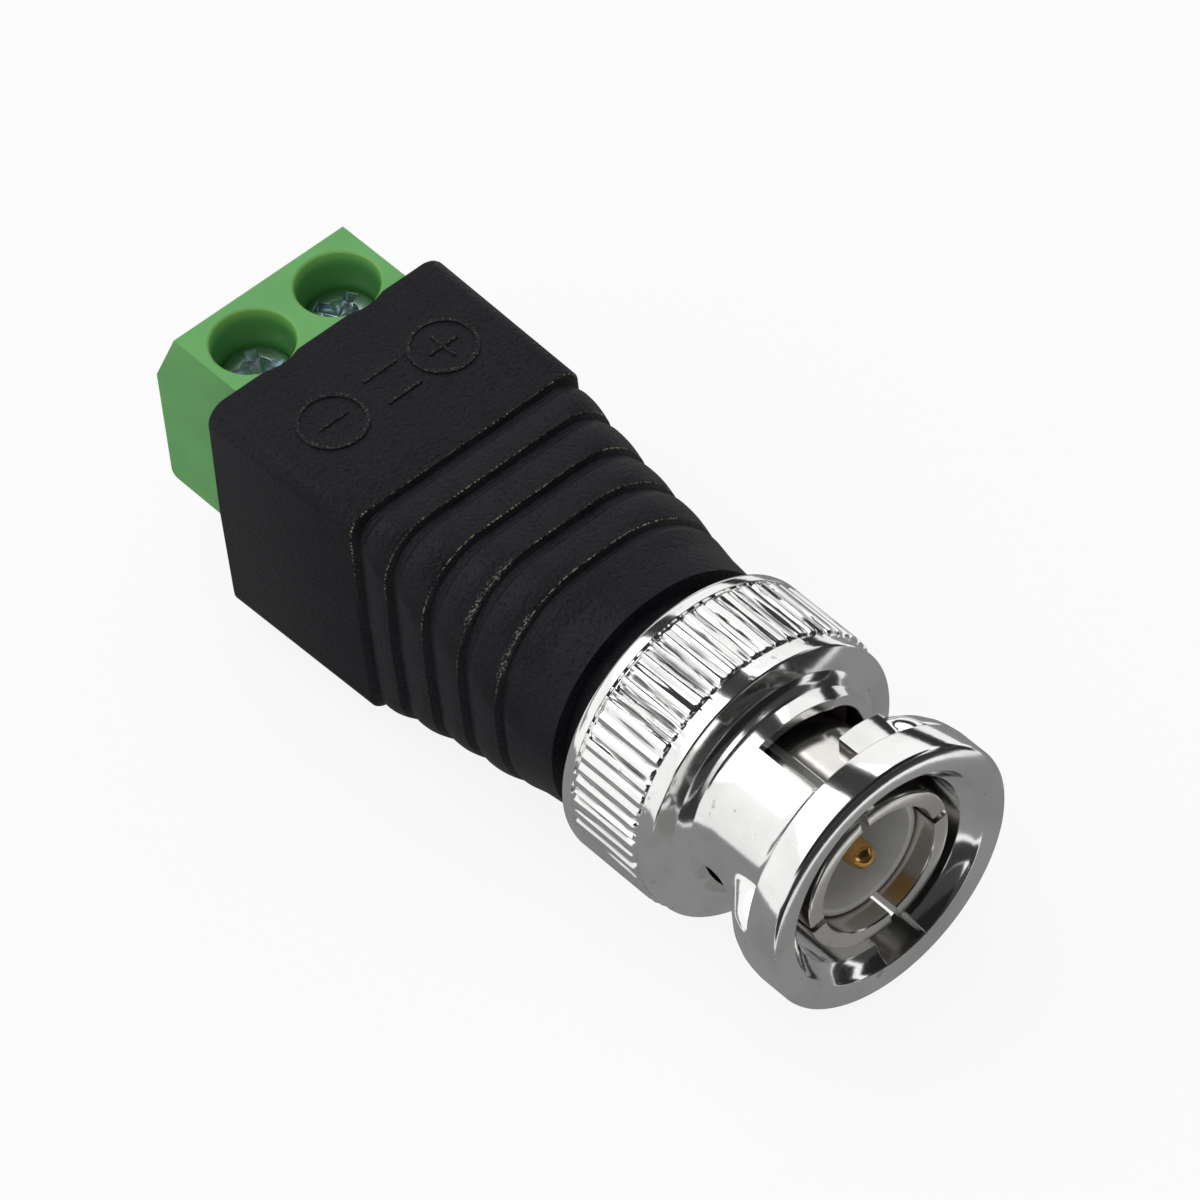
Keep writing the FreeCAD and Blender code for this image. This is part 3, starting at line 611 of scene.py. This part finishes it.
def mouldingStations():  # x, half width, bottom, top, corner radius, share of square
    half, bottom, top, edge = (moulding[key] for key in ("halfWidth", "bottom", "top", "edge"))
    draft, rear, front = moulding["draft"], moulding["rear"], moulding["boxFront"]
    stations = []
    for x, grow, rad in ((rear, draft - 0.2, edge - 0.1), (rear + 0.06, draft - 0.08, edge - 0.05),
                         (rear + 0.2, draft, edge), (front - 0.06, 0.0, edge), (front, -0.04, edge)):
        stations.append((x, half + grow, bottom - grow / 2, top + grow / 4, rad, 1.0))
    lips, lastRib, crestShare = moulding["lips"], moulding["lastRib"], moulding["crestShare"]
    for i, lip in enumerate(lips):
        valley, crest = moulding["valleySizes"][i], moulding["crestSizes"][i]
        after = moulding["lipSizes"][i + 1] if i < 4 else lastRib[1:]
        end = lips[i + 1] if i < 4 else lastRib[0]
        start = lip + 0.2
        for n in range(17):
            share = n / 16
            if share < crestShare:
                mix = smooth(share / crestShare)
                size, rad = (v + (c - v) * mix for v, c in zip(valley, crest))
            else:
                mix = (share - crestShare) / (1 - crestShare)
                size, rad = (c + (a - c) * mix for c, a in zip(crest, after))
                size += 0.05 * math.sin(math.pi * mix) * (i < 4)
            stations.append(ribStation(start + (end - start) * share, size, rad))
    for n in range(1, 9):
        stations.append(ribStation(*[a + more * n / 8 for a, more in zip(lastRib, moulding["taper"])]))
    return stations


def ribStation(x, size, rad):
    squareEnd, roundEnd = moulding["squareRun"]
    blend = max(0.0, min(1.0, (x - roundEnd) / (squareEnd - roundEnd)))
    half = moulding["lipSizes"][0][0]
    return x, size, -size + (moulding["bottom"] + half) * blend, size + (moulding["top"] - half) * blend, rad, blend


def sectionPoint(x, size, low, high, rad, blend, turn):
    rad = min(rad, size - 0.02, (high - low) / 2 - 0.02)
    c, s = math.cos(turn), math.sin(turn)
    side = 0.0 if abs(c) < 1e-6 else math.copysign(size - rad, c)
    rise = 0.0 if abs(s) < 1e-6 else math.copysign((high - low) / 2 - rad, s)
    bulge = moulding["sideBulge"] * blend * max(0.0, 1 - abs(s) * 30)
    return Vector((x, side + rad * c + math.copysign(bulge, c), (high + low) / 2 + rise + rad * s))


def makeMoulding():
    bm = bmesh.new()
    count = 160
    ring = bmesh.ops.create_circle(bm, cap_ends=True, segments=count, radius=1.0)["verts"]
    turns = [math.tau * i / count for i in range(count)]
    stations = mouldingStations()
    for v, turn in zip(ring, turns):
        v.co = sectionPoint(*stations[0], turn)
    edges = bm.edges[:]
    lastTurn = dict(zip(ring, turns))
    for station in stations[1:]:
        grown = bmesh.ops.extrude_edge_only(bm, edges=edges)
        fresh = [g for g in grown["geom"] if isinstance(g, bmesh.types.BMVert)]
        edges = [g for g in grown["geom"] if isinstance(g, bmesh.types.BMEdge)]
        nextTurn = {}
        for v in fresh:
            for e in v.link_edges:
                if e.other_vert(v) in lastTurn:
                    nextTurn[v] = lastTurn[e.other_vert(v)]
        for v, turn in nextTurn.items():
            v.co = sectionPoint(*station, turn)
        lastTurn = nextTurn
    bmesh.ops.holes_fill(bm, edges=edges, sides=0)
    piece = toPiece("ribbedMoulding", bm, blackMoulding, "core", ("overmould_body",), sharp=38)
    collar, neck, neckR, signs = (moulding[key] for key in ("collar", "neck", "neckR", "signs"))
    marks = [tool(spun([(collar - 1, 0), (collar - 1, neckR), (neck, neckR), (neck, 0)], 128))]
    base, rise = moulding["top"] - signs["sink"], moulding["top"] + signs["rise"]
    x, inner, outer, half, stroke, corner = (signs[key] for key in ("x", "inner", "outer", "half", "stroke", "round"))
    for y in (-signs["y"], signs["y"]):
        ringMark = spun([(base, inner), (base, outer), (rise, outer - signs["side"]), (rise, inner + signs["side"])],
                        96, axis=(0, 0, 1))
        bmesh.ops.translate(ringMark, vec=(x, y, 0), verts=ringMark.verts)
        marks.append(tool(ringMark))
        marks.append(tool(block3((x - half, y - stroke, base), (x + half, y + stroke, rise), corner)))
    marks.append(tool(block3((x - stroke, signs["y"] - half, base), (x + stroke, signs["y"] + half, rise - 0.005),
                             corner)))
    for bar in signs["bars"]:
        marks.append(tool(block3((bar - half, signs["barY"][0], base), (bar + half, signs["barY"][1], rise), corner)))
    carve(piece, marks, blackMoulding, 38, "UNION")
    half, hole, holeR = block["half"], *moulding["plugHole"]
    cutters = [
        tool(block3((block["rear"], -half, block["bottom"]), (block["front"], half, block["stepZ"]))),
        tool(block3((block["rear"], -half, block["stepZ"] - 1), (block["stepX"], half, block["top"]))),
        tool(spun([(hole, 0), (hole, holeR), (-12.0, holeR), (-12.0, 0)], 128)),
    ]
    low, notch = block["top"] - 0.5, block["wellNotch"]
    for side in (-1, 1):
        well = spun([(low, 0), (low, notch), (8, notch), (8, 0)], 96, axis=(0, 0, 1))
        bmesh.ops.translate(well, vec=(block["screwX"], side * block["pitch"] / 2, 0), verts=well.verts)
        cutters.append(tool(well))
    carve(piece, cutters, blackMoulding, 38)


makeMoulding()


def makeBlock():
    bm = bmesh.new()
    outline = [
        (block["front"], block["bottom"]), (block["front"], block["stepZ"]), (block["stepX"], block["stepZ"]),
        (block["stepX"], block["top"]), (block["topEdge"], block["top"]), (block["rear"], block["slopeFoot"]),
        (block["rear"], block["bottom"]),
    ]
    face = bm.faces.new([bm.verts.new((x, -block["half"], z)) for x, z in outline])
    grown = bmesh.ops.extrude_face_region(bm, geom=[face])
    bmesh.ops.translate(bm, vec=(0, 2 * block["half"], 0),
                        verts=[g for g in grown["geom"] if isinstance(g, bmesh.types.BMVert)])
    bmesh.ops.recalc_face_normals(bm, faces=bm.faces)
    behind, under = block["rear"] + 0.5, block["bottom"] + 0.1
    heel = [e for e in bm.edges if all(v.co.x < behind and v.co.z < under for v in e.verts)]
    bmesh.ops.bevel(bm, geom=heel, offset=block["heelRound"], offset_type="OFFSET", segments=4, profile=0.5,
                    affect="EDGES", material=-1)
    piece = toPiece("greenTerminalBlock", bm, greenBlock, "core", ("terminal_housing",), sharp=28)
    cutters, rear, funnelShape = [], block["rear"], block["funnel"]
    half, deep, middle = (funnelShape[key] for key in ("half", "deep", "middle"))
    for side in (-1, 1):
        y = side * block["pitch"] / 2
        well = spun(block["well"], 96, axis=(0, 0, 1))
        bmesh.ops.translate(well, vec=(block["screwX"], y, 0), verts=well.verts)
        cutters.append(tool(well))
        funnel = block3((rear - 1, y - half, funnelShape["low"]), (rear + deep, y + half, funnelShape["high"]),
                        funnelShape["round"])
        for v in funnel.verts:
            if v.co.x > rear:
                v.co.y = y + (v.co.y - y) * funnelShape["narrow"][0]
                v.co.z = middle + (v.co.z - middle) * funnelShape["narrow"][1]
        cutters.append(tool(funnel))
        for hole in (block["wireHole"], block["cageHole"]):
            (first, last), (low, high) = hole["x"], hole["z"]
            cutters.append(tool(block3((first, y - hole["half"], low), (last, y + hole["half"], high))))
    carve(piece, cutters, greenBlock, 28)


makeBlock()

screwShape = {
    "headR": 1.72,
    "headTop": 4.6,
    "headBottom": 3.4,
    "tip": 0.2,
    "pitch": 0.5,
    "crown": [(0.42, 0.0), (0.2, 0.08), (0.06, 0.32), (0.0, 0.75)],  # below the top, inside the rim
    "coreR": 1.24,
    "tipR": 0.9,
    "tooth": [(1.2, -0.2), (1.49, -0.03), (1.49, 0.03), (1.2, 0.2)],
    "threadTurns": 5,
    "cross": (1.3, 0.3, 0.7),  # half length, half width, depth
    "crossPit": [(-0.95, 0), (-0.95, 0.3), (0.05, 0.85), (0.05, 0)],
    "turns": {"plus": 28, "minus": 64},  # how each cross stands
}


def makeScrew(side, name):
    top, low, r, tip, coreR = (screwShape[key] for key in ("headTop", "headBottom", "headR", "tip", "coreR"))
    crown = [(top - down, r - away) for down, away in screwShape["crown"]]
    head = spun([(low, 0), (low, r), *crown, (top, 0)], 96, axis=(0, 0, 1))
    core = spun([(tip, 0), (tip, screwShape["tipR"]), (tip + 0.3, coreR), (low + 0.1, coreR), (low + 0.1, 0)], 48,
                axis=(0, 0, 1))
    thread = bmesh.new()
    tooth = [thread.verts.new((away, 0, tip + 0.25 + rise)) for away, rise in screwShape["tooth"]]
    toothEdges = [thread.edges.new(pair) for pair in zip(tooth, tooth[1:] + tooth[:1])]
    count = screwShape["threadTurns"]
    bmesh.ops.spin(thread, geom=tooth + toothEdges, axis=(0, 0, 1), cent=(0, 0, 0), angle=math.tau * count,
                   steps=36 * count, dvec=(0, 0, screwShape["pitch"] / 36))
    bmesh.ops.holes_fill(thread, edges=thread.edges, sides=4)
    piece = toPiece("terminalScrew" + name.title(), head, zincPlate, "screw_" + name,
                    ("screw_" + name,))
    length, width, deep = screwShape["cross"]
    cuts = [block3((-length, -width, top - deep), (length, width, top + 1), 0.05),
            block3((-width, -length, top - deep), (width, length, top + 1), 0.05),
            spun([(top + a, away) for a, away in screwShape["crossPit"]], 48, axis=(0, 0, 1))]
    carve(piece, [tool(c) for c in cuts], zincPlate)
    bm = bmesh.new()
    bm.from_mesh(piece.data)
    bmesh.ops.scale(bm, vec=(1000, 1000, 1000), verts=bm.verts)
    whole = joined(bm, core, thread)
    turn = Matrix.Rotation(math.radians(screwShape["turns"][name]), 3, "Z")
    bmesh.ops.rotate(whole, verts=whole.verts, cent=(0, 0, 0), matrix=turn)
    bmesh.ops.translate(whole, vec=(block["screwX"], side * block["pitch"] / 2, 0), verts=whole.verts)
    bmesh.ops.scale(whole, vec=(0.001, 0.001, 0.001), verts=whole.verts)
    whole.to_mesh(piece.data)
    whole.free()
    finishMesh(piece, zincPlate, 32)


makeScrew(1, "plus")
makeScrew(-1, "minus")

waveShape = {
    "inner": 4.6,
    "outer": 5.55,
    "thick": 0.2,
    "swing": 0.15,
    "waves": 3,
    "seat": -9.9,
    "height": 0.5,
}


def makeWaveWasher(name, node, place, phase):
    half, swing, waves = waveShape["thick"] / 2, waveShape["swing"], waveShape["waves"]
    inner, outer = waveShape["inner"], waveShape["outer"]
    bm = spun([(-half, inner), (half, inner), (half, outer), (-half, outer)], 144)
    middle = waveShape["seat"] - (place + 0.5) * waveShape["height"]
    for v in bm.verts:
        turn = math.atan2(v.co.z, v.co.y)
        v.co.x += middle + swing * math.cos(waves * (turn - math.radians(phase)))
    piece = toPiece(name, bm, springSteel, "core", (node,))
    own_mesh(piece)


makeWaveWasher("waveWasherA", "wave_washer_a", 0, 0)
makeWaveWasher("waveWasherB", "wave_washer_b", 1, 60)

keptFinish = {  # CAD nodes that keep their shape
    "thrust_washer": springSteel,
    "retaining_ring": springSteel,
    "ground_lug": tinnedBrass,
    "contact_cage_plus": tinnedBrass,
    "contact_cage_minus": tinnedBrass,
    "wire_guard_plus": tinnedBrass,
    "wire_guard_minus": tinnedBrass,
    "lead_plus": copperWire,
    "lead_minus": copperWire,
    "solder_joint_plus": solderFill,
    "solder_joint_minus": solderFill,
    "solder_joint_pin": solderFill,
    "solder_joint_lug": solderFill,
}
for name, material in keptFinish.items():
    node = nodes[name]
    weld = node.modifiers.new("weld", "WELD")
    weld.merge_threshold = 1e-6
    node.data.materials.clear()
    node.data.materials.append(material)
    node.data.shade_smooth()
    node.data.set_sharp_from_angle(angle=math.radians(30))
print("kept nodes dressed")

studio = {
    "floorZ": -0.00745,
    "paperGlow": (0.66, 0.34),  # what light gets from the floor, and what the camera gets on top
    "paperMix": 0.88,
    "ambient": 0.44,
    "key": 2.6,
    "keyPlace": (-0.15, -0.12, 0.55),
    "keySize": (0.95, 0.8),  # as bright as the backdrop in a reflection
    "cards": [  # name, grey level, centre, facing, width, height
        ("shadowFloor", 0.24, (-0.026, -0.006, -0.00744), (0, 0, 1), 0.07, 0.1),
        ("frontFloor", 0.03, (0.261, 0.05, -0.00743), (0, 0, 1), 0.5, 0.5),
        ("topFlag", 0.015, (0.27, 0, 0.3), (0, 0, -1), 0.69, 1.4),
        ("gapFlag", 0.02, (-0.39, 0.056, 0.3), (0, 0, -1), 0.63, 0.14),
        ("frontFlag", 0.05, (0.6, 0, 0.14), (-1, 0, 0), 1.4, 0.34),
        ("rearFlag", 0.25, (-0.3, -0.02, 0.03), (1, 0, 0), 0.6, 0.09),
        ("sideFlag", 0.02, (-0.2, 0.34, 0.04), (0, -1, 0), 0.9, 0.1),
    ],
}


def stageSheet(name, width, height, facing, centre):
    bm = bmesh.new()
    bmesh.ops.create_grid(bm, x_segments=1, y_segments=1, size=0.5)
    bmesh.ops.scale(bm, vec=(width, height, 1), verts=bm.verts)
    turn = Vector(facing).to_track_quat("Z", "Y").to_matrix()
    bmesh.ops.rotate(bm, verts=bm.verts, cent=(0, 0, 0), matrix=turn)
    bmesh.ops.translate(bm, vec=centre, verts=bm.verts)
    mesh = bpy.data.meshes.new(name)
    bm.to_mesh(mesh)
    bm.free()
    sheet = bpy.data.objects.new(name, mesh)
    scene.collection.objects.link(sheet)
    paint = bpy.data.materials.new(name)
    paint.use_nodes = True
    paint.node_tree.nodes.clear()
    mesh.materials.append(paint)
    return sheet, paint.node_tree


def seenBy(tree, *rays):
    seen = None
    for ray in rays:
        hit = addNode(tree, "ShaderNodeLightPath", out="Is %s Ray" % ray)
        seen = hit if seen is None else seen.most(hit)
    return seen


def makeStudio():
    floor, tree = stageSheet("floor", 8.0, 8.0, (0, 0, 1), (0, 0, studio["floorZ"]))
    low, more = studio["paperGlow"]
    glow = addNode(tree, "ShaderNodeEmission", Strength=seenBy(tree, "Camera", "Glossy") * more + low)
    matt = addNode(tree, "ShaderNodeBsdfDiffuse", Color=rgb(0.92, 0.92, 0.92))
    paper = addNode(tree, "ShaderNodeMixShader", i0=studio["paperMix"], i1=matt, i2=glow)
    addNode(tree, "ShaderNodeOutputMaterial", Surface=paper)
    for name, level, centre, facing, width, height in studio["cards"]:
        card, tree = stageSheet(name, width, height, facing, centre)
        card.visible_camera = False  # seen in reflections only
        card.visible_diffuse = False
        card.visible_shadow = False
        card.visible_transmission = False
        shade = addNode(tree, "ShaderNodeEmission", Color=rgb(level, level, level))
        addNode(tree, "ShaderNodeOutputMaterial", Surface=shade)
    world = bpy.data.worlds.new("studio")
    scene.world = world
    world.use_nodes = True
    tree = world.node_tree
    tree.nodes.clear()
    backdrop = addNode(tree, "ShaderNodeBackground", Color=rgb(1, 1, 1), Strength=1.0)
    fill = addNode(tree, "ShaderNodeBackground", Strength=studio["ambient"])
    direct = seenBy(tree, "Camera", "Glossy", "Transmission")
    sky = addNode(tree, "ShaderNodeMixShader", i0=direct, i1=fill, i2=backdrop)
    addNode(tree, "ShaderNodeOutputWorld", Surface=sky)
    data = bpy.data.lights.new("softbox", "AREA")
    data.shape = "RECTANGLE"
    data.size, data.size_y = studio["keySize"]
    data.energy = studio["key"]
    lamp = bpy.data.objects.new("softbox", data)
    lamp.location = studio["keyPlace"]
    lamp.rotation_euler = (Vector((-0.02, 0, 0)) - lamp.location).to_track_quat("-Z", "Y").to_euler()
    scene.collection.objects.link(lamp)


makeStudio()
print("studio built")
scene.view_settings.view_transform = "Standard"
